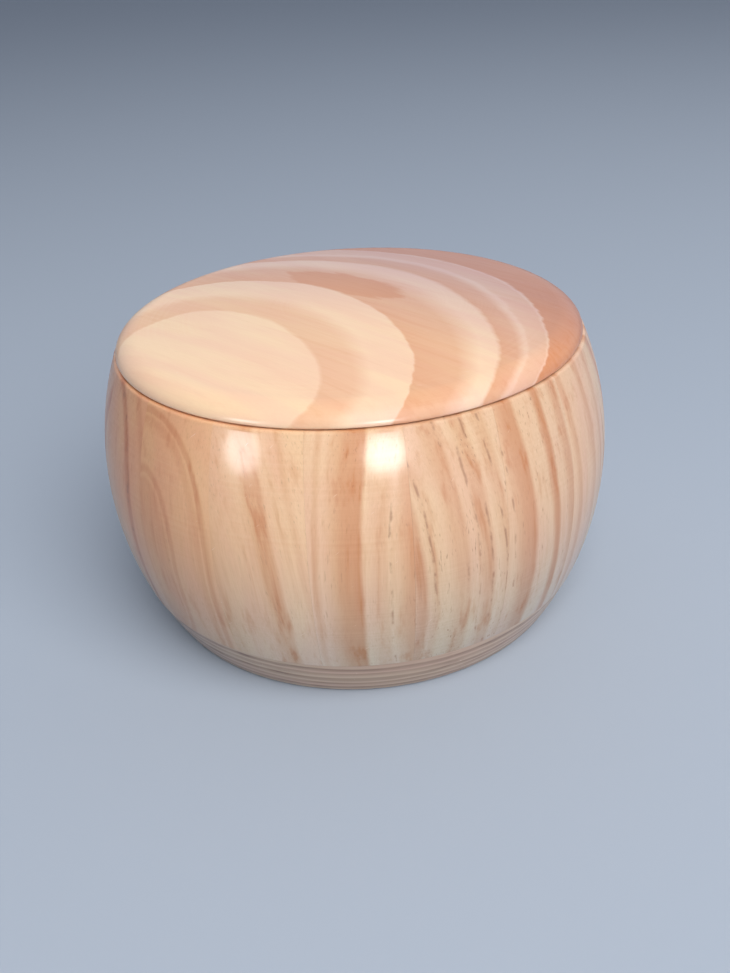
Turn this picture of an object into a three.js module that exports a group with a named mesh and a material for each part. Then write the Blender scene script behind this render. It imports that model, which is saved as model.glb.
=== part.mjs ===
// A round go stone bowl with a lift-off lid, turned from pale pine that is glued up first:
// a ring of upright staves stands on a base disc, and the lid is one board.
// Millimetres, +Z up. The origin is the centre of the foot, on the surface the bowl stands on,
// and stave_01 faces -Y.
import * as THREE from "three";
import { mergeGeometries } from "three/addons/utils/BufferGeometryUtils.js";

// Driving dimensions of the bowl
const STAVES = 18;
const BELLY_RADIUS = 70; // the widest radius
const BELLY_HEIGHT = 43; // the height of the widest place
const BULGE_RADIUS = 87; // the arc that the outside follows from foot to mouth
const WALL = 9.5; // the wall's thickness
const BASE_HEIGHT = 13.4; // from the foot up to the staves' lower ends
const MOUTH_HEIGHT = 77.5; // the staves' upper ends, where the lid rests
const FLOOR_HEIGHT = 7; // the flat middle of the bowl's floor
const FLOOR_RADIUS = 40; // the flat middle of the floor, inside its curved rim
const RECESS_RADIUS = 44; // the shallow recess that leaves a ring to stand on
const RECESS_DEPTH = 1.2;
const FOOT_ROUNDING = 1.5;
const BASE_STEP = 0.3; // how far the base disc stays inside the staves' outside
const MOUTH_ROUNDING = 1.5; // the inner edge that the fingers pass
const SEAM_ROUNDING = 0.5; // the outer edges on both sides of the lid's seam

// Driving dimensions of the lid
const LID_RADIUS = 62.4;
const LID_EDGE_HEIGHT = 5; // the rounded edge, a quarter of an ellipse
const LID_EDGE_WIDTH = 7.3;
const LID_CROWN = 2.1; // how far the top rises inside the edge
const SPIGOT_PLAY = 1.4; // between the spigot and the mouth, all round
const SPIGOT_DEPTH = 6;
const SPIGOT_WIDTH = 7;
const SPIGOT_CHAMFER = 1;
const DISH_DEPTH = 6.5; // the hollow underneath, which holds stones when the lid is turned over
const DISH_CURVE = 12; // how far the dish's side curves in before its flat middle

// Gaps between pieces
const GLUE_LINE = 0.3;
const LID_GAP = 0.3;

// Fineness
const STEPS_PER_STAVE = 4;
const RING_STEPS = STAVES * STEPS_PER_STAVE;
const CURVE_STEPS = 5;

const ARC_CENTRE = BELLY_RADIUS - BULGE_RADIUS; // the bulge's centre lies past the bowl's axis

// The radius at a height on an arc that is concentric with the bulge.
function radiusAt(arcRadius, height) {
  return ARC_CENTRE + Math.sqrt(arcRadius ** 2 - (height - BELLY_HEIGHT) ** 2);
}

// Continues an outline along such an arc, up or down, from one height to another.
function followBulge(outline, arcRadius, from, to) {
  const angle = (height) => Math.asin((height - BELLY_HEIGHT) / arcRadius);
  outline.absarc(ARC_CENTRE, BELLY_HEIGHT, arcRadius, angle(from), angle(to), from > to);
}

const INSIDE_ARC = BULGE_RADIUS - WALL;
const MOUTH_RADIUS = radiusAt(INSIDE_ARC, MOUTH_HEIGHT);
const CAVITY_FOOT_RADIUS = radiusAt(INSIDE_ARC, BASE_HEIGHT);

// The outlines lie in the plane of radius and height, and run anticlockwise.
function staveOutline() {
  const top = radiusAt(BULGE_RADIUS, MOUTH_HEIGHT);
  const outer = MOUTH_HEIGHT - SEAM_ROUNDING;
  const inner = MOUTH_HEIGHT - MOUTH_ROUNDING;
  const outline = new THREE.Shape();
  outline.moveTo(CAVITY_FOOT_RADIUS, BASE_HEIGHT);
  outline.lineTo(radiusAt(BULGE_RADIUS, BASE_HEIGHT), BASE_HEIGHT);
  followBulge(outline, BULGE_RADIUS, BASE_HEIGHT, outer);
  outline.lineTo(top - SEAM_ROUNDING, MOUTH_HEIGHT);
  outline.lineTo(MOUTH_RADIUS + MOUTH_ROUNDING, MOUTH_HEIGHT);
  outline.lineTo(radiusAt(INSIDE_ARC, inner), inner);
  followBulge(outline, INSIDE_ARC, inner, BASE_HEIGHT);
  return outline;
}

function baseOutline() {
  const arc = BULGE_RADIUS - BASE_STEP;
  const foot = radiusAt(arc, 0);
  const top = BASE_HEIGHT - GLUE_LINE;
  const outline = new THREE.Path();
  outline.moveTo(0, RECESS_DEPTH);
  outline.lineTo(RECESS_RADIUS, RECESS_DEPTH);
  outline.lineTo(RECESS_RADIUS + RECESS_DEPTH, 0);
  outline.lineTo(foot - FOOT_ROUNDING, 0);
  outline.quadraticCurveTo(foot, 0, radiusAt(arc, FOOT_ROUNDING), FOOT_ROUNDING);
  followBulge(outline, arc, FOOT_ROUNDING, top);
  outline.lineTo(CAVITY_FOOT_RADIUS, top);
  outline.quadraticCurveTo(CAVITY_FOOT_RADIUS, FLOOR_HEIGHT, FLOOR_RADIUS, FLOOR_HEIGHT);
  outline.lineTo(0, FLOOR_HEIGHT);
  return outline;
}

function lidOutline() {
  const rim = MOUTH_HEIGHT + LID_GAP;
  const spigotRadius = MOUTH_RADIUS - SPIGOT_PLAY;
  const spigotEnd = rim - SPIGOT_DEPTH;
  const dishRadius = spigotRadius - SPIGOT_WIDTH;
  const ceiling = spigotEnd + DISH_DEPTH;
  const shoulderRadius = LID_RADIUS - LID_EDGE_WIDTH;
  const shoulder = rim + LID_EDGE_HEIGHT;
  const top = shoulder + LID_CROWN;
  const outline = new THREE.Path();
  outline.moveTo(0, ceiling);
  outline.lineTo(dishRadius - DISH_CURVE, ceiling);
  outline.quadraticCurveTo(dishRadius, ceiling, dishRadius, spigotEnd);
  outline.lineTo(spigotRadius - SPIGOT_CHAMFER, spigotEnd);
  outline.lineTo(spigotRadius, spigotEnd + SPIGOT_CHAMFER);
  outline.lineTo(spigotRadius, rim);
  outline.lineTo(LID_RADIUS - SEAM_ROUNDING, rim);
  outline.lineTo(LID_RADIUS, rim + SEAM_ROUNDING);
  outline.bezierCurveTo(
    LID_RADIUS, rim + LID_EDGE_HEIGHT / 2,
    shoulderRadius + LID_EDGE_WIDTH / 2, shoulder - LID_CROWN / 8,
    shoulderRadius, shoulder,
  );
  outline.quadraticCurveTo(shoulderRadius / 2, top, 0, top);
  return outline;
}

// A whole turn of an outline about +Z.
function turned(outline) {
  const points = outline.getPoints(CURVE_STEPS);
  return new THREE.LatheGeometry(points, RING_STEPS).rotateX(Math.PI / 2);
}

// A sector of a turn, closed by a flat joint face at each side.
function sector(outline, start, length) {
  const skin = new THREE.LatheGeometry(
    outline.getPoints(CURVE_STEPS).concat(outline.getPoint(0)), STEPS_PER_STAVE, start, length,
  );
  const firstFace = new THREE.ShapeGeometry(outline, CURVE_STEPS).rotateY(start - Math.PI / 2);
  const lastFace = new THREE.ShapeGeometry(outline, CURVE_STEPS).rotateY(start + length - Math.PI / 2);
  lastFace.index.array.reverse();
  return mergeGeometries([skin, firstFace, lastFace]).rotateX(Math.PI / 2);
}

function wood(colour, roughness) {
  return new THREE.MeshStandardMaterial({ color: colour, roughness, metalness: 0 });
}

const STAVE_COLOURS = [0xe8c092, 0xf0d0a6, 0xe4b78a];
const BASE_COLOUR = 0xc9a07a;
const LID_COLOUR = 0xefc49a;
const LACQUER_ROUGHNESS = 0.35;

const bowl = new THREE.Group();
const pitch = (2 * Math.PI) / STAVES;
const staveAngle = pitch - GLUE_LINE / BELLY_RADIUS;
for (let i = 0; i < STAVES; i += 1) {
  const geometry = sector(staveOutline(), -staveAngle / 2, staveAngle);
  const colour = STAVE_COLOURS[i % STAVE_COLOURS.length];
  const stave = new THREE.Mesh(geometry, wood(colour, LACQUER_ROUGHNESS));
  stave.name = `stave_${String(i + 1).padStart(2, "0")}`;
  stave.rotation.z = i * pitch;
  bowl.add(stave);
}

const baseDisc = new THREE.Mesh(turned(baseOutline()), wood(BASE_COLOUR, LACQUER_ROUGHNESS));
baseDisc.name = "base_disc";
bowl.add(baseDisc);

const lid = new THREE.Mesh(turned(lidOutline()), wood(LID_COLOUR, LACQUER_ROUGHNESS));
lid.name = "lid";

const stoneBowl = new THREE.Group();
stoneBowl.add(bowl, lid);

export default stoneBowl;
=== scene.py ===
"""Looks of the go stone bowl: turned pine pieces built finely over the CAD staves, base disc and lid.

The pieces' lengths are in millimetres and are turned into metres where a mesh is made. The stage's
lengths are in metres.
"""
import math
import random

import bpy
import numpy as np
from mathutils import Matrix, Vector


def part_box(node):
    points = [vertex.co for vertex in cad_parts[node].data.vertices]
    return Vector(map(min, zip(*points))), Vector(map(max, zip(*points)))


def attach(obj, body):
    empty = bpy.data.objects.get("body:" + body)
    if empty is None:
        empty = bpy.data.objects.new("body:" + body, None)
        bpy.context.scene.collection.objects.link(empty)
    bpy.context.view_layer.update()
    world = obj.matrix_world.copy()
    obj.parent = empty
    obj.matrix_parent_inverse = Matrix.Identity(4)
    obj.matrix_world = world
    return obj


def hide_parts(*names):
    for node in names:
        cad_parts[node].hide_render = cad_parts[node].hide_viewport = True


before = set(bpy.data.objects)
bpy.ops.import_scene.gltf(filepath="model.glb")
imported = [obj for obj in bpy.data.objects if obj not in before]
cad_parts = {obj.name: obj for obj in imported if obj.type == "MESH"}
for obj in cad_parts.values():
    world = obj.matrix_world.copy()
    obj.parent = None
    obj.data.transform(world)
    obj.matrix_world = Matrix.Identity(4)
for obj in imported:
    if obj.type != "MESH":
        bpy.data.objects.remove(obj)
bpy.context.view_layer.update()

MM = 0.001

# The turned outside and inside are arcs about one centre, past the bowl's axis.
BELLY_RADIUS = 70.0
BELLY_HEIGHT = 43.0
BULGE_RADIUS = 87.0
WALL = 9.5
ARC_CENTRE = BELLY_RADIUS - BULGE_RADIUS
STAVES = 18
PITCH = 2 * math.pi / STAVES

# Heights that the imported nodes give
BASE_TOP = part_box("base_disc")[1].z / MM
STAVE_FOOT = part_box("stave_01")[0].z / MM
MOUTH_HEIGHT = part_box("stave_01")[1].z / MM
SPIGOT_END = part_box("lid")[0].z / MM
LID_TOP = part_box("lid")[1].z / MM
LID_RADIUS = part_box("lid")[1].x / MM

LID_SEAM = 0.35
LID_RIM = MOUTH_HEIGHT + LID_SEAM
LID_EDGE_HEIGHT = 4.8
LID_EDGE_WIDTH = 7.3
SPIGOT_PLAY = 1.4
SPIGOT_WIDTH = 7.0
DISH_DEPTH = 6.5
DISH_CURVE = 12.0
BASE_STEP = 0.3  # the disc is this much smaller than the staves
BASE_RISE = 0.15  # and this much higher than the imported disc, for a finer seam
FLOOR_HEIGHT = 7.0
FLOOR_RADIUS = 40.0
RECESS_RADIUS = 44.0
RECESS_DEPTH = 1.2

JOINT_GAP = 0.03  # between neighbouring staves, at the belly
MESH_STEP = 1.2  # the longest edge along an outline
STAVE_STEPS = 24
TURN_STEPS = 360


# ---------------------------------------------------------------- outlines

def radius_at(arc_radius, height):
    return ARC_CENTRE + math.sqrt(arc_radius ** 2 - (height - BELLY_HEIGHT) ** 2)


def bulge(arc_radius, start, end, steps=40):
    """Points along an arc concentric with the bulge, from one height to another, unrounded."""
    first = math.asin((start - BELLY_HEIGHT) / arc_radius)
    last = math.asin((end - BELLY_HEIGHT) / arc_radius)
    angles = np.linspace(first, last, steps)
    return [(ARC_CENTRE + arc_radius * math.cos(a), BELLY_HEIGHT + arc_radius * math.sin(a), 0)
            for a in angles]


def quadratic(start, control, end, steps):
    """Points of a quadratic curve, both ends left out."""
    points = []
    for i in range(1, steps):
        t = i / steps
        points.append(tuple((1 - t) ** 2 * s + 2 * t * (1 - t) * c + t * t * e
                            for s, c, e in zip(start, control, end)))
    return points


def rounded(corners, closed):
    """An outline from (radius, height, rounding) corners; a rounding is a short curve of that reach."""
    points = []
    last = len(corners) - 1
    for i, (r, z, reach) in enumerate(corners):
        if reach == 0 or (not closed and i in (0, last)):
            points.append((r, z))
            continue
        here = Vector((r, z))
        before = Vector(corners[i - 1][:2])
        after = Vector(corners[(i + 1) % len(corners)][:2])
        start = here + (before - here).normalized() * reach
        end = here + (after - here).normalized() * reach
        points.append(tuple(start))
        points.extend(quadratic(start, here, end, 5))
        points.append(tuple(end))
    return points


def refined(points, closed):
    """The outline with every edge cut to MESH_STEP or shorter."""
    ends = points[1:] + points[:1] if closed else points[1:]
    fine = []
    for (r0, z0), (r1, z1) in zip(points, ends):
        count = max(1, math.ceil(math.hypot(r1 - r0, z1 - z0) / MESH_STEP))
        for k in range(count):
            t = k / count
            fine.append((r0 + (r1 - r0) * t, z0 + (z1 - z0) * t))
    if not closed:
        fine.append(points[-1])
    return fine


def stave_outline():
    """Foot, outside, mouth and inside. The arcs keep clear of the corners, which are rounded."""
    inside = BULGE_RADIUS - WALL
    outer_top = radius_at(BULGE_RADIUS, MOUTH_HEIGHT)
    inner_top = radius_at(inside, MOUTH_HEIGHT)
    corners = [(radius_at(inside, STAVE_FOOT), STAVE_FOOT, 0)]
    corners.append((radius_at(BULGE_RADIUS, STAVE_FOOT), STAVE_FOOT, 0.35))
    corners += bulge(BULGE_RADIUS, STAVE_FOOT + 0.6, MOUTH_HEIGHT - 0.8)
    corners.append((outer_top, MOUTH_HEIGHT, 0.7))
    corners.append((inner_top, MOUTH_HEIGHT, 1.5))
    corners += bulge(inside, MOUTH_HEIGHT - 2.2, STAVE_FOOT + 0.5)
    return refined(rounded(corners, closed=True), closed=True)


def base_outline():
    """From the recess under the disc, round the foot and the seam, to the bowl's inner floor."""
    arc = BULGE_RADIUS - BASE_STEP
    foot = radius_at(arc, 0)
    cavity = radius_at(BULGE_RADIUS - WALL, STAVE_FOOT)
    top = BASE_TOP + BASE_RISE
    corners = [(0, RECESS_DEPTH, 0)]
    corners.append((RECESS_RADIUS, RECESS_DEPTH, 0.4))
    corners.append((RECESS_RADIUS + RECESS_DEPTH, 0, 0.6))
    corners.append((foot, 0, 1.3))
    corners += bulge(arc, 2, top - 0.5, 12)
    corners.append((radius_at(arc, top), top, 0.25))
    corners.append((cavity, top, 0))
    rim, turn, flat = (cavity, top), (cavity, FLOOR_HEIGHT), (FLOOR_RADIUS, FLOOR_HEIGHT)
    corners += [(r, z, 0) for r, z in quadratic(rim, turn, flat, 16)]
    corners.append((FLOOR_RADIUS, FLOOR_HEIGHT, 0))
    corners.append((0, FLOOR_HEIGHT, 0))
    return refined(rounded(corners, closed=False), closed=False)


def lid_outline():
    """From the hollow underneath, round the spigot and the rim, to the middle of the top."""
    spigot = radius_at(BULGE_RADIUS - WALL, MOUTH_HEIGHT) - SPIGOT_PLAY
    dish = spigot - SPIGOT_WIDTH
    ceiling = SPIGOT_END + DISH_DEPTH
    shoulder = LID_RIM + LID_EDGE_HEIGHT
    shoulder_radius = LID_RADIUS - LID_EDGE_WIDTH
    corners = [(0, ceiling, 0), (dish - DISH_CURVE, ceiling, 0)]
    curve = quadratic((dish - DISH_CURVE, ceiling), (dish, ceiling), (dish, SPIGOT_END + 0.5), 14)
    corners += [(r, z, 0) for r, z in curve]
    corners.append((dish, SPIGOT_END, 0.5))
    corners.append((spigot, SPIGOT_END, 1.0))
    corners.append((spigot, LID_RIM, 0.3))
    corners.append((LID_RADIUS, LID_RIM, 0.6))
    steps = 16
    for i in range(2, steps):  # the rounded rim, past the rim's lower corner
        a = math.pi / 2 * i / steps
        corners.append((shoulder_radius + LID_EDGE_WIDTH * math.cos(a),
                        LID_RIM + LID_EDGE_HEIGHT * math.sin(a), 0))
    edge, crown = (shoulder_radius, shoulder), (shoulder_radius / 2, LID_TOP)
    corners.append((*edge, 0))
    corners += [(r, z, 0) for r, z in quadratic(edge, crown, (0, LID_TOP), 30)]
    corners.append((0, LID_TOP, 0))
    return refined(rounded(corners, closed=False), closed=False)


# ---------------------------------------------------------------- meshes

def turned_mesh(name, outline, closed, start, length, steps):
    """An outline turned about +Z; angle 0 faces -Y. A part turn is closed by a flat face at each end."""
    whole = length >= 2 * math.pi - 1e-6
    count = len(outline)
    columns = steps if whole else steps + 1
    verts, faces = [], []
    index = {}
    for c in range(columns):
        angle = start + length * c / steps
        for k, (r, z) in enumerate(outline):
            if r < 1e-6 and c > 0:
                index[c, k] = index[0, k]
                continue
            index[c, k] = len(verts)
            verts.append((r * math.sin(angle) * MM, -r * math.cos(angle) * MM, z * MM))
    spans = count if closed else count - 1
    for c in range(steps):
        d = (c + 1) % columns
        for k in range(spans):
            m = (k + 1) % count
            ring = [index[c, k], index[d, k], index[d, m], index[c, m]]
            faces.append(list(dict.fromkeys(ring)))  # a point on the axis counts once
    if not whole:
        faces.append([index[0, k] for k in range(count)])
        faces.append([index[steps, k] for k in reversed(range(count))])
    mesh = bpy.data.meshes.new(name)
    mesh.from_pydata(verts, [], faces)
    mesh.update()
    return mesh


def smooth(mesh, sharp_angle=math.radians(35)):
    mesh.shade_smooth()
    mesh.set_sharp_from_angle(angle=sharp_angle)


def attribute(mesh, name, kind, values):
    field = "vector" if kind == "FLOAT_VECTOR" else "value"
    made = mesh.attributes.new(name, kind, "POINT")
    made.data.foreach_set(field, np.ascontiguousarray(values, np.float32).ravel())


def points_of(mesh):
    """The mesh's points in millimetres, one row each."""
    flat = np.zeros(len(mesh.vertices) * 3)
    mesh.vertices.foreach_get("co", flat)
    return flat.reshape(-1, 3) / MM


# ---------------------------------------------------------------- wood

class Graph:
    """Adds nodes to one material; each method returns the new node's output."""

    def __init__(self, name):
        self.material = bpy.data.materials.new(name)
        self.material.use_nodes = True
        self.nodes = self.material.node_tree.nodes
        self.links = self.material.node_tree.links
        self.shader = self.nodes["Principled BSDF"]

    def put(self, socket, value):
        if isinstance(value, bpy.types.NodeSocket):
            self.links.new(value, socket)
        else:
            socket.default_value = value

    def attribute(self, name, output="Fac"):
        node = self.nodes.new("ShaderNodeAttribute")
        node.attribute_name = name
        return node.outputs[output]

    def maths(self, operation, a, b=0.0, c=0.0, clamp=False):
        node = self.nodes.new("ShaderNodeMath")
        node.operation = operation
        node.use_clamp = clamp
        for socket, value in zip(node.inputs, (a, b, c)):
            self.put(socket, value)
        return node.outputs[0]

    def product(self, a, b):
        return self.maths("MULTIPLY", a, b)

    def scaled(self, vector, factors):
        node = self.nodes.new("ShaderNodeVectorMath")
        node.operation = "MULTIPLY"
        self.put(node.inputs[0], vector)
        node.inputs[1].default_value = factors
        return node.outputs[0]

    def rotated(self, vector, degrees):
        node = self.nodes.new("ShaderNodeVectorRotate")
        node.rotation_type = "Y_AXIS"
        self.put(node.inputs["Vector"], vector)
        node.inputs["Angle"].default_value = math.radians(degrees)
        return node.outputs[0]

    def noise(self, vector, detail, roughness=0.5):
        node = self.nodes.new("ShaderNodeTexNoise")
        self.put(node.inputs["Vector"], vector)
        node.inputs["Scale"].default_value = 1.0
        node.inputs["Detail"].default_value = detail
        node.inputs["Roughness"].default_value = roughness
        return node.outputs["Fac"]

    def fit(self, value, low, high, to_low=0.0, to_high=1.0):
        """A smooth step from to_low to to_high while the value goes from low to high."""
        node = self.nodes.new("ShaderNodeMapRange")
        node.interpolation_type = "SMOOTHSTEP"
        for key, number in (("From Min", low), ("From Max", high), ("To Min", to_low), ("To Max", to_high)):
            node.inputs[key].default_value = number
        self.put(node.inputs["Value"], value)
        return node.outputs["Result"]

    def line(self, value, low, high):
        """A straight run from 0 to 1 while the value goes from low to high."""
        node = self.nodes.new("ShaderNodeMapRange")
        node.inputs["From Min"].default_value = low
        node.inputs["From Max"].default_value = high
        self.put(node.inputs["Value"], value)
        return node.outputs["Result"]

    def ramp(self, value, stops):
        """stops are (place from 0 to 1, brightness)."""
        node = self.nodes.new("ShaderNodeValToRGB")
        self.put(node.inputs["Fac"], value)
        elements = node.color_ramp.elements
        while len(elements) > 1:
            elements.remove(elements[-1])
        elements[0].position = stops[0][0]
        elements[0].color = (stops[0][1],) * 3 + (1,)
        for place, level in stops[1:]:
            elements.new(place).color = (level,) * 3 + (1,)
        return node.outputs["Color"]

    def mix(self, factor, a, b, blend="MIX"):
        node = self.nodes.new("ShaderNodeMix")
        node.data_type = "RGBA"
        node.blend_type = blend
        self.put(node.inputs["Factor"], factor)
        self.put(node.inputs[6], a)
        self.put(node.inputs[7], b)
        return node.outputs[2]

    def times(self, colour, tint):
        return self.mix(1.0, colour, tint, "MULTIPLY")

    def bump(self, height, distance):
        node = self.nodes.new("ShaderNodeBump")
        node.inputs["Strength"].default_value = 1.0
        node.inputs["Distance"].default_value = distance
        self.put(node.inputs["Height"], height)
        return node.outputs["Normal"]


def linear(red, green, blue):
    """A display colour of 0 to 255 as a linear RGBA colour."""
    def one(value):
        value /= 255
        return value / 12.92 if value <= 0.04045 else ((value + 0.055) / 1.055) ** 2.4
    return (one(red), one(green), one(blue), 1.0)


def tinted(colour, factors):
    return tuple(part * factor for part, factor in zip(colour, factors)) + (1.0,)


CREAM = linear(234, 190, 154)
BROWN = linear(201, 126, 79)
FIBRE = linear(186, 128, 90)
DUCT = linear(146, 94, 66)
SCRATCH = linear(255, 240, 220)
PINKER = (0.98, 0.90, 0.89)
YELLOWER = (1.0, 0.995, 0.94)
# Painted shading and painted cool reflected light: the wood turns darker and bluer towards the foot, where
# the lower wall gets less light.
PAINTED_FOOT_SHADE = (0.72, 0.98, 1.30, 1.0)  # towards the foot
FOOT_SHADE_TOP = 55.0
FOOT_SHADE_LOW = 8.0
HOLD = 0.45  # the part of a band's width that keeps most of its strength
PATCH_BLUR = 0.3
STREAK_WIDTH = 0.5
STREAK_SHARP = 0.3
STREAK_STRENGTH = 0.65
SCRATCH_LEAN = 40  # degrees
SCRATCH_STRENGTH = 0.4
ROUGHNESS = (0.48, 0.58)
TOOL_RELIEF = 0.6
FIBRE_RELIEF = 0.4
BUMP_DEPTH = 0.00005  # metres

# How quickly each pattern changes across the grain, into the wood and along the grain, per millimetre
FIBRES = (3.2, 3.2, 0.10)
BUNDLES = (0.5, 0.5, 0.014)
PATCHES = (0.11, 0.11, 0.022)
SLOW_SWAY = (0.05, 0.05, 0.016)
QUICK_SWAY = (0.30, 0.30, 0.10)
DUCT_DASHES = (0.4, 0.4, 0.22)
DUCT_SPOTS = (2.4, 2.4, 0.32)
DUCT_CROWDS = (0.16, 0.16, 0.02)
SCRATCHES = (0.25, 0.25, 4.0)
TOOL_ZONES = (0.05, 0.05, 0.04)
TOOL_MARKS = (1.1, 0.0, 0.0)  # along the tool's path only


def band_stops(bands, low, high, sharp, hold):
    """Ramp stops for growth rings. A band is (edge, width, strength): it ends sharply at its edge and
    fades out over its width, towards smaller places if the width is negative. It keeps most of its
    strength for the part of its width that hold gives."""
    stops = [(0.0, 0.0)]
    for edge, width, strength in sorted(bands, key=lambda band: min(band[0], band[0] + band[1])):
        run = [(edge, strength), (edge + width * hold, strength * 0.85), (edge + width, 0.0)]
        run.append((edge - math.copysign(sharp, width), 0.0))
        for place, level in sorted(run):
            place = max((place - low) / (high - low), stops[-1][0] + 1e-4)
            stops.append((place, level))
    return [stop for stop in stops if stop[0] < 1]


def banded(graph, place, reach, bands, sharp, hold):
    """How dark each place is, from 0 to 1, by the bands that lie within the reach."""
    return graph.ramp(graph.line(place, *reach), band_stops(bands, *reach, sharp, hold))


def latewood(graph, look, grain, bundles):
    """The swaying place across the rings, and how brown the wood is there, from 0 to 1."""
    slow = graph.maths("SUBTRACT", graph.noise(graph.scaled(grain, SLOW_SWAY), 1.0), 0.5)
    quick = graph.maths("SUBTRACT", graph.noise(graph.scaled(grain, QUICK_SWAY), 2.0), 0.5)
    shift = graph.maths("MULTIPLY_ADD", slow, look["sway"], graph.product(quick, look["ripple"]))
    place = graph.maths("ADD", graph.attribute("place"), shift)
    late = banded(graph, place, look["reach"], look["bands"], look["sharp"], look["hold"])
    late = graph.product(late, graph.fit(bundles, 0.25, 0.75, 1.0 - look["uneven"], 1.0))
    if look["patch"]:
        edge, strength = look["patch"]
        outline = graph.maths("MULTIPLY_ADD", quick, 0.5, graph.attribute("patch"))
        inside = graph.fit(outline, 0.12, -0.25)
        beyond = graph.fit(place, edge - PATCH_BLUR, edge + PATCH_BLUR)
        late = graph.maths("MAXIMUM", late, graph.product(graph.product(inside, beyond), strength))
    faint = graph.fit(bundles, 0.5, 0.78, 0.0, look["faint"])
    return place, graph.maths("ADD", late, faint, clamp=True)


def with_ducts(graph, look, grain, place, wood):
    """Adds the resin ducts: broken dark streaks at chosen places, and specks that crowd together."""
    if look["streaks"]:
        dashes = graph.fit(graph.noise(graph.scaled(grain, DUCT_DASHES), 3.0), 0.49, 0.64)
        bands = [(edge, STREAK_WIDTH, 1.0) for edge in look["streaks"]]
        lines = banded(graph, place, look["reach"], bands, STREAK_SHARP, HOLD)
        wood = graph.mix(graph.product(graph.product(lines, dashes), STREAK_STRENGTH), wood, DUCT)
    spots = graph.noise(graph.scaled(grain, DUCT_SPOTS), 1.0)
    crowds = graph.noise(graph.scaled(grain, DUCT_CROWDS), 1.0)
    specks = graph.product(graph.fit(spots, 0.62, 0.78), graph.fit(crowds, 0.4, 0.62, 0.2, 1.0))
    return graph.mix(graph.product(specks, look["resin"]), wood, DUCT)


def with_scratches(graph, grain, wood):
    """Adds a few fine light scratches that lean across the grain."""
    scratches = graph.noise(graph.scaled(graph.rotated(grain, SCRATCH_LEAN), SCRATCHES), 1.0)
    return graph.mix(graph.fit(scratches, 0.775, 0.83, 0.0, SCRATCH_STRENGTH), wood, SCRATCH)


def with_tool_marks(graph, look, grain, tool, wood):
    """Darkens the wood a little along the lathe tool's path, more in some zones than in others."""
    zones = graph.fit(graph.noise(graph.scaled(grain, TOOL_ZONES), 1.0), 0.42, 0.66, 0.2, 1.0)
    marks = graph.product(graph.fit(tool, 0.35, 0.65, 0.0, look["tool"]), zones)
    return graph.mix(marks, wood, graph.times(wood, wood))


def pine(name, look):
    """Lacquered pine. The mesh gives each point its place across the growth rings, its grain
    coordinates (across, deep, along) and its place along the lathe tool's path, in millimetres, and its
    height, side, patch and blush where the look needs them. Where the look asks for it, the colour also
    carries painted shading and a painted reflection: darker and cooler towards the foot, a tint across
    each stave that is partly painted shading, and a cooler tint on the lid's back and rim."""
    graph = Graph(name)
    grain = graph.attribute("grain", "Vector")
    fibres = graph.noise(graph.scaled(grain, FIBRES), 3.0, 0.6)
    bundles = graph.noise(graph.scaled(grain, BUNDLES), 3.0, 0.55)
    patches = graph.noise(graph.scaled(grain, PATCHES), 2.0)
    tool_path = graph.nodes.new("ShaderNodeCombineXYZ")
    graph.put(tool_path.inputs["X"], graph.attribute("turning"))
    tool = graph.noise(graph.scaled(tool_path.outputs[0], TOOL_MARKS), 4.0, 0.7)

    pinker, yellower = tinted(look["cream"], PINKER), tinted(look["cream"], YELLOWER)
    early = graph.mix(graph.fit(patches, 0.34, 0.66), yellower, pinker)
    place, late = latewood(graph, look, grain, bundles)
    wood = graph.mix(late, early, look["brown"])
    wood = graph.mix(graph.fit(fibres, 0.35, 0.75, 0.0, look["fibre"]), wood, FIBRE)
    # Painted shading: from the top height down to the foot the wood is tinted darker and cooler, standing in
    # for the dimmer, cooler light low on the wall.
    if look["foot_shade"]:
        foot_shade_mask = graph.fit(graph.attribute("height"), FOOT_SHADE_TOP, FOOT_SHADE_LOW, 0.0, look["foot_shade"])
        wood = graph.mix(foot_shade_mask, wood, graph.times(wood, PAINTED_FOOT_SHADE))
    # The tint across each stave is partly the stave's own tone and partly painted shading: darker and warmer
    # on the left staves, paler and cooler on the right, blending from a stave's left side to its right.
    if look["shade"]:
        wood = graph.times(wood, graph.mix(graph.attribute("side"), *look["shade"]))
    wood = with_ducts(graph, look, grain, place, wood)
    wood = with_scratches(graph, grain, wood)
    # Partly the lid's own duller, pinker tone and partly a painted cool reflection in the lacquer, towards
    # the back right and on the right rim.
    if look["tint_and_reflection"]:
        wood = graph.mix(graph.attribute("tint_and_reflection"), wood, graph.times(wood, look["tint_and_reflection"]))
    wood = with_tool_marks(graph, look, grain, tool, wood)

    graph.put(graph.shader.inputs["Base Color"], wood)
    graph.put(graph.shader.inputs["Roughness"], graph.fit(fibres, 0.3, 0.7, *ROUGHNESS))
    graph.shader.inputs["Specular IOR Level"].default_value = 0.3
    graph.shader.inputs["Coat Weight"].default_value = 0.7
    graph.shader.inputs["Coat Roughness"].default_value = look["coat_roughness"]
    relief = graph.maths("MULTIPLY_ADD", tool, TOOL_RELIEF, graph.product(fibres, FIBRE_RELIEF))
    graph.put(graph.shader.inputs["Normal"], graph.bump(relief, BUMP_DEPTH))
    return graph.material


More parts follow.
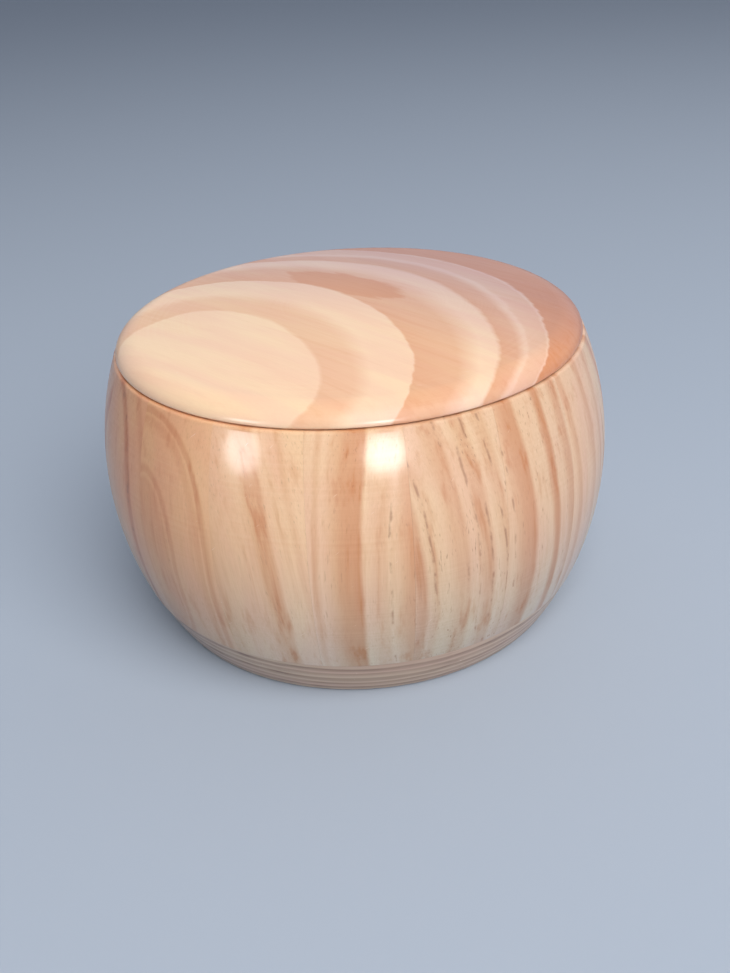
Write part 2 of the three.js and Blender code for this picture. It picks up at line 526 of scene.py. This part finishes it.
# reach is the span of places across the rings that bands can lie in, and sharp is the distance in which a
# band ends at its edge. sway and ripple bend the rings, slowly and quickly, by up to about half their
# millimetres. faint, uneven, fibre, tool, grey and resin are strengths from 0 to 1; grey is painted
# shading, darker and cooler towards the foot. patch is the ring's edge that it starts beyond and its
# strength, and blush is a tint, partly the wood's own and partly a painted reflection.
STAVE_LOOK = dict(cream=CREAM, brown=BROWN, reach=(-24.0, 40.0), sway=1.8, ripple=0.9, sharp=1.2,
                  hold=HOLD, faint=0.3, uneven=0.2, fibre=0.14, tool=0.14, foot_shade=0.85, resin=0.25,
                  coat_roughness=0.17, bend=(0.0, 30.0), shade=(), patch=(), tint_and_reflection=())


def stave(pith, bands, streaks=(), **changes):
    """pith is (across, height of the widest place, bow) of the ring centre that shapes the bands, and
    bend (amount, height) curves the bands sideways away from a height. streaks are the places of lines
    of resin ducts. shade is the tint at the left side and at the right side, and between them it
    blends; it is partly the stave's own tone and partly painted shading, darker and warmer on the
    left staves and paler and cooler on the right ones."""
    return dict(STAVE_LOOK, pith=pith, bands=bands, streaks=streaks, **changes)


STRAIGHT = (60.0, 30.0, 0.0)  # a pith so far to the side that the bands run straight up
# The staves that can be seen from the front: stave 1 faces it, and the numbers go on to its right
# Their tints are partly each stave's own tone and partly painted shading: darker and warmer at the left,
# paler and cooler at the right.
SEEN_STAVES = {
    16: stave((-20, 40, 0.009), [(5.8, -2.4, 0.85), (13.0, -2.0, 0.3)], [4.9, 5.6], resin=0.15,
              shade=((0.92, 0.78, 0.66, 1.0), (0.97, 0.81, 0.68, 1.0))),
    17: stave((-12, 30, 0.007), [(-3.4, -10, 0.3), (-1.4, -1.8, 0.42), (8.4, -2.4, 0.3), (10.6, -2.2, 0.48)],
              resin=0.2, sharp=0.8, shade=((0.97, 0.82, 0.67, 1.0), (1.05, 0.98, 0.87, 1.0))),
    18: stave(STRAIGHT, [(-12.6, 6.5, 0.3), (5.6, -5.4, 0.62), (12.4, -1.4, 0.3)],
              bend=(-0.0024, 20), resin=0.3, faint=0.4, uneven=0.5,
              shade=((1.05, 1.04, 0.97, 1.0), (1.04, 1.11, 1.11, 1.0))),
    1: stave(STRAIGHT, [(-10.8, -1.2, 0.3), (-0.9, -8.8, 0.85), (5.2, -4.6, 0.26), (12.6, -6.2, 0.65)],
             [6.1], sway=3.2, bend=(0.0015, 30), resin=0.3, faint=0.3, uneven=0.15,
             shade=((1.02, 1.10, 1.12, 1.0), (0.96, 1.06, 1.08, 1.0))),
    2: stave(STRAIGHT, [(-9.4, -3.0, 0.6), (-6.6, -1.5, 0.25), (1.4, -5.0, 0.5), (7.8, -4.0, 0.5),
                        (12.8, -3.2, 0.45)], [-7.0, 1.3, 4.6, 7.7, 11.8],
             bend=(-0.0028, 30), resin=0.85, faint=0.42, uneven=0.4,
             shade=((0.90, 0.96, 0.97, 1.0), (0.90, 1.00, 1.06, 1.0))),
    3: stave(STRAIGHT, [(-3.0, -6.8, 0.72), (5.6, -2.6, 0.9), (12.2, -3.4, 0.55)], [-9.4],
             bend=(-0.0013, 25), resin=0.5, faint=0.4,
             shade=((0.88, 0.92, 0.96, 1.0), (0.88, 0.97, 1.06, 1.0))),
    4: stave(STRAIGHT, [(-7.8, -2.6, 0.45), (2.4, -3.2, 0.45), (9.5, -2.5, 0.4)], bend=(-0.001, 30),
             shade=((0.89, 0.94, 1.00, 1.0), (0.91, 1.02, 1.14, 1.0))),
}


def hidden_stave(number):
    """A stave of the sides or back, with rings of its own from a seed. Beside a stave that can be seen
    from the front, it takes that stave's tint at their joint, so that the painted shading in that tint
    fades out into a plain tone of its own."""
    rng = random.Random(number)
    bands = []
    edge = -13 + rng.uniform(0, 4)
    while edge < 24 and len(bands) < 6:
        width = rng.uniform(1.6, 5.5)
        bands.append((edge, -width, rng.uniform(0.3, 0.9)))
        edge += width + rng.uniform(2.5, 6.0)
    side = rng.choice((-1, 1))
    pith = (side * rng.uniform(14, 70), rng.uniform(15, 55), rng.uniform(0.0, 0.008))
    tint = rng.uniform(-0.03, 0.03)
    plain = (1 + tint, 1.0, 1 - tint, 1.0)
    left, right = plain, plain
    if number - 1 in SEEN_STAVES:
        left = SEEN_STAVES[number - 1]["shade"][1]
    if number + 1 in SEEN_STAVES:
        right = SEEN_STAVES[number + 1]["shade"][0]
    return stave(pith, bands, bend=(rng.uniform(-0.003, 0.003), rng.uniform(20, 50)),
                 resin=rng.uniform(0.15, 0.4), shade=(left, right))


def finish_piece(name, mesh, body, node, material):
    """Makes the piece's object, which rides on a body in place of its CAD node."""
    smooth(mesh)
    mesh.materials.append(material)
    piece = bpy.data.objects.new(name, mesh)
    bpy.context.scene.collection.objects.link(piece)
    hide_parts(node)
    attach(piece, body)


def make_stave(number):
    look = SEEN_STAVES.get(number) or hidden_stave(number)
    turn = (number - 1) * PITCH
    half = PITCH / 2 - JOINT_GAP / 2 / BELLY_RADIUS
    name = f"stave_{number:02d}_turned"
    mesh = turned_mesh(name, stave_outline(), True, turn - half, 2 * half, STAVE_STEPS)
    x, y, height = points_of(mesh).T
    across = x * math.cos(turn) + y * math.sin(turn)
    deep = BELLY_RADIUS - (x * math.sin(turn) - y * math.cos(turn))
    pith_across, pith_height, bow = look["pith"]
    bend, bend_height = look["bend"]
    straight = across - bend * (height - bend_height) ** 2
    sink = deep + bow * (height - pith_height) ** 2
    distance = np.hypot(straight - pith_across, sink)
    attribute(mesh, "place", "FLOAT", pith_across - math.copysign(1, pith_across) * distance)
    apart = 91.0 * number  # so that no two staves share their fibres
    attribute(mesh, "grain", "FLOAT_VECTOR", np.stack([straight + apart, deep, height], 1))
    attribute(mesh, "turning", "FLOAT", height)
    attribute(mesh, "height", "FLOAT", height)
    attribute(mesh, "side", "FLOAT", across / (PITCH * BELLY_RADIUS) + 0.5)  # 0 at the left, 1 at the right
    finish_piece(name, mesh, "bowl", f"stave_{number:02d}", pine(f"pine_{name}", look))


def make_base():
    """The disc's rings lie almost level, one over the other, and its grain runs along X."""
    name = "base_disc_turned"
    mesh = turned_mesh(name, base_outline(), False, 0, 2 * math.pi, TURN_STEPS)
    x, y, height = points_of(mesh).T
    slope_x, slope_y = 0.012, -0.02
    attribute(mesh, "place", "FLOAT", height + slope_x * x + slope_y * y)
    coarser, finer = 0.6, 2.0
    attribute(mesh, "grain", "FLOAT_VECTOR", np.stack([coarser * y, finer * height, coarser * x], 1))
    attribute(mesh, "turning", "FLOAT", height + np.hypot(x, y))
    attribute(mesh, "height", "FLOAT", height)
    first_ring, ring_step = -1.0, 2.3
    bands = [(first_ring + ring_step * i, -1.5, 0.9 - 0.3 * (i % 2)) for i in range(7)]
    # The disc gets the painted shading towards the foot too, darker and cooler, at a lower strength than the
    # staves.
    look = dict(STAVE_LOOK, bands=bands, streaks=(), reach=(-8.0, 24.0), cream=linear(212, 178, 149),
                brown=linear(138, 100, 77), sway=2.2, ripple=0.6, sharp=0.5, resin=0.15,
                uneven=0.45, foot_shade=0.35)
    finish_piece(name, mesh, "bowl", "base_disc", pine("pine_base_disc", look))


def lid_rings(x, y, z):
    """The size of the oval through each point. The ovals start long and tilted at the front left, and
    get rounder and shift backwards as they widen."""
    tilt = math.radians(-62.5)
    start_x, start_y = 34, 38  # the ovals' centre starts this far to the left and to the front
    drift_x, drift_y = 0.14, 0.35  # and moves by this much for each millimetre of size
    longness, rounding = 0.495, 0.007
    front_reach, left_reach = 0.90, 0.55
    guess, rounds = 40.0, 40
    size = np.full(len(x), guess)
    for _ in range(rounds):  # an oval's place and shape depend on its size, so the size settles by steps
        from_x = x + start_x - drift_x * size
        from_y = y + start_y - drift_y * size
        along = from_x * math.cos(tilt) + from_y * math.sin(tilt)
        across = from_y * math.cos(tilt) - from_x * math.sin(tilt)
        stretch = longness - rounding * size
        along = np.where(along > 0, front_reach * along, along)  # longer towards the front right
        across = np.where(across < 0, left_reach * across, across)  # wider towards the front left
        size = 0.5 * size + 0.5 * np.hypot(along / (1 + stretch), across / (1 - stretch))
    widening = 0.5  # for each millimetre deeper in the board
    return size + widening * (LID_TOP - z)


def lid_patch(x, y):
    """Below 0 inside an irregular dark patch behind the middle, above 0 outside."""
    turn = math.radians(-42)
    centre_x, centre_y = -1, 16
    half_length, half_width = 24, 8.5
    from_x, from_y = x - centre_x, y - centre_y
    along = (from_x * math.cos(turn) + from_y * math.sin(turn)) / half_length
    across = (from_y * math.cos(turn) - from_x * math.sin(turn)) / half_width
    return np.hypot(along, across) - 1


def lid_tint_and_reflection(x, y):
    """How much duller and pinker the lid gets, from 0 to 1: towards the back right, and on the rim at
    the right. This is partly the wood's own tone and partly a painted cool reflection in the lacquer."""
    dull_start, dull_width = -10, 62
    rim_start, rim_width, rim_strength = 56, 8, 0.7
    towards_back = y + 0.5 * x + 0.5 * np.maximum(x, 0)
    behind = np.clip((towards_back - dull_start) / dull_width, 0, 1)
    to_the_right = np.clip(0.5 + x / 60, 0, 1)
    rim = np.clip((np.hypot(x, y) - rim_start) / rim_width, 0, 1) * to_the_right
    return np.maximum(behind, rim_strength * rim)


def make_lid():
    """The board's ovals follow lid_rings, and its grain runs diagonally across the lid."""
    name = "lid_turned"
    mesh = turned_mesh(name, lid_outline(), False, 0, 2 * math.pi, TURN_STEPS)
    x, y, z = points_of(mesh).T
    attribute(mesh, "place", "FLOAT", lid_rings(x, y, z))
    attribute(mesh, "patch", "FLOAT", lid_patch(x, y))
    attribute(mesh, "tint_and_reflection", "FLOAT", lid_tint_and_reflection(x, y))
    attribute(mesh, "grain", "FLOAT_VECTOR", np.stack([x + y, z, 0.7 * (x - y)], 1))
    attribute(mesh, "turning", "FLOAT", np.hypot(x, y))
    # The lid's cool tint is partly the wood's own tone and partly a painted reflection on its back and right
    # rim.
    bands = [(27.2, 10, 0.40), (46.0, 13, 0.64), (62.8, 5.0, 0.66), (72.2, -5.5, 0.36), (72.8, 45, 0.93)]
    look = dict(STAVE_LOOK, bands=bands, streaks=(), reach=(0.0, 128.0), cream=linear(251, 215, 178),
                brown=linear(220, 143, 88), sway=1.5, ripple=1.1, sharp=0.5, hold=0.65, resin=0.04,
                faint=0.07, fibre=0.05, tool=0.10, uneven=0.1, coat_roughness=0.2, foot_shade=0,
                patch=(46.0, 0.85), tint_and_reflection=(0.70, 0.68, 0.92, 1.0))
    finish_piece(name, mesh, "lid", "lid", pine("pine_lid", look))


# ---------------------------------------------------------------- stage

FLOOR_REACH = 15.0
FLOOR_COLOUR = (0.40, 0.45, 0.52, 1)
SKY_IN_FRONT = (0.09, 0.11, 0.15, 1)
SKY_BEHIND = (0.54, 0.58, 0.66, 1)
LIGHT_AIM_HEIGHT = 0.06
SKY_TURNS_PALE = (-0.3, 0.9)  # the Y of the directions where the sky starts and stops to change
CAMERA_PLACE = (0, -0.2575, 0.1752)
CAMERA_TARGET = (0.0019, 0, 0.0275)
CAMERA_TURN = 0.4  # degrees, about the bowl's axis
CAMERA_ROLL = 3.42  # degrees
LENS = 37.0  # millimetres, as is the sensor's width
SENSOR_WIDTH = 36.0


def make_floor():
    mesh = bpy.data.meshes.new("floor")
    far = FLOOR_REACH
    mesh.from_pydata([(-far, -far, 0), (far, -far, 0), (far, far, 0), (-far, far, 0)], [], [(0, 1, 2, 3)])
    floor = bpy.data.objects.new("floor", mesh)
    bpy.context.scene.collection.objects.link(floor)
    graph = Graph("pale_floor")
    graph.shader.inputs["Base Color"].default_value = FLOOR_COLOUR
    graph.shader.inputs["Roughness"].default_value = 0.9
    mesh.materials.append(graph.material)


def area_light(name, azimuth, elevation, distance, width, height, power, diffuse=True, mirrored=True):
    """A soft oval light aimed at the bowl. Azimuth 0 stands at -Y, 90 at +X. diffuse says whether it
    lights surfaces, and mirrored whether glossy surfaces show its reflection."""
    a, e = math.radians(azimuth), math.radians(elevation)
    out = Vector((math.sin(a) * math.cos(e), -math.cos(a) * math.cos(e), math.sin(e)))
    light = bpy.data.lights.new(name, "AREA")
    light.shape = "ELLIPSE"
    light.size, light.size_y = width, height
    light.energy = power
    lamp = bpy.data.objects.new(name, light)
    bpy.context.scene.collection.objects.link(lamp)
    lamp.location = Vector((0, 0, LIGHT_AIM_HEIGHT)) + out * distance
    lamp.rotation_mode = "QUATERNION"
    lamp.rotation_quaternion = out.to_track_quat("Z", "Y")
    lamp.visible_diffuse = diffuse
    lamp.visible_glossy = mirrored


def make_lights():
    """One broad light for the shading, and two small ones that only the lacquer reflects."""
    area_light("key", 25, 46, 1.5, 1.6, 1.6, 32, mirrored=False)
    area_light("window_right", 12.5, 11.2, 1.7, 0.48, 0.38, 10.6, diffuse=False)
    area_light("window_left", -49, 8.5, 1.7, 0.46, 0.44, 7.8, diffuse=False)


def make_world():
    """A plain sky that is dark at the front and pale at the back, where the lid reflects it."""
    world = bpy.data.worlds.new("studio")
    world.use_nodes = True
    tree = world.node_tree
    toward = tree.nodes.new("ShaderNodeTexCoord")
    split = tree.nodes.new("ShaderNodeSeparateXYZ")
    behind = tree.nodes.new("ShaderNodeMapRange")
    shades = tree.nodes.new("ShaderNodeMix")
    shades.data_type = "RGBA"
    shades.inputs[6].default_value = SKY_IN_FRONT
    shades.inputs[7].default_value = SKY_BEHIND
    behind.interpolation_type = "SMOOTHSTEP"
    behind.inputs["From Min"].default_value = SKY_TURNS_PALE[0]
    behind.inputs["From Max"].default_value = SKY_TURNS_PALE[1]
    tree.links.new(toward.outputs["Generated"], split.inputs[0])
    tree.links.new(split.outputs["Y"], behind.inputs["Value"])
    tree.links.new(behind.outputs["Result"], shades.inputs["Factor"])
    tree.links.new(shades.outputs[2], tree.nodes["Background"].inputs["Color"])
    bpy.context.scene.world = world


def make_camera():
    turn = Matrix.Rotation(math.radians(CAMERA_TURN), 3, "Z")
    place = turn @ Vector(CAMERA_PLACE)
    target = turn @ Vector(CAMERA_TARGET)
    data = bpy.data.cameras.new("camera")
    data.lens = LENS
    data.sensor_width = SENSOR_WIDTH
    data.clip_start, data.clip_end = 0.01, 2 * FLOOR_REACH
    camera = bpy.data.objects.new("camera", data)
    bpy.context.scene.collection.objects.link(camera)
    camera.location = place
    aim = (target - place).to_track_quat("-Z", "Y").to_matrix()
    roll = Matrix.Rotation(-math.radians(CAMERA_ROLL), 3, "Z")
    camera.rotation_mode = "QUATERNION"
    camera.rotation_quaternion = (aim @ roll).to_quaternion()
    bpy.context.scene.camera = camera


make_camera()
for stave_number in range(1, STAVES + 1):
    make_stave(stave_number)
make_base()
make_lid()
make_floor()
make_lights()
make_world()
bpy.context.scene.view_settings.view_transform = "Standard"

bpy.context.view_layer.update()
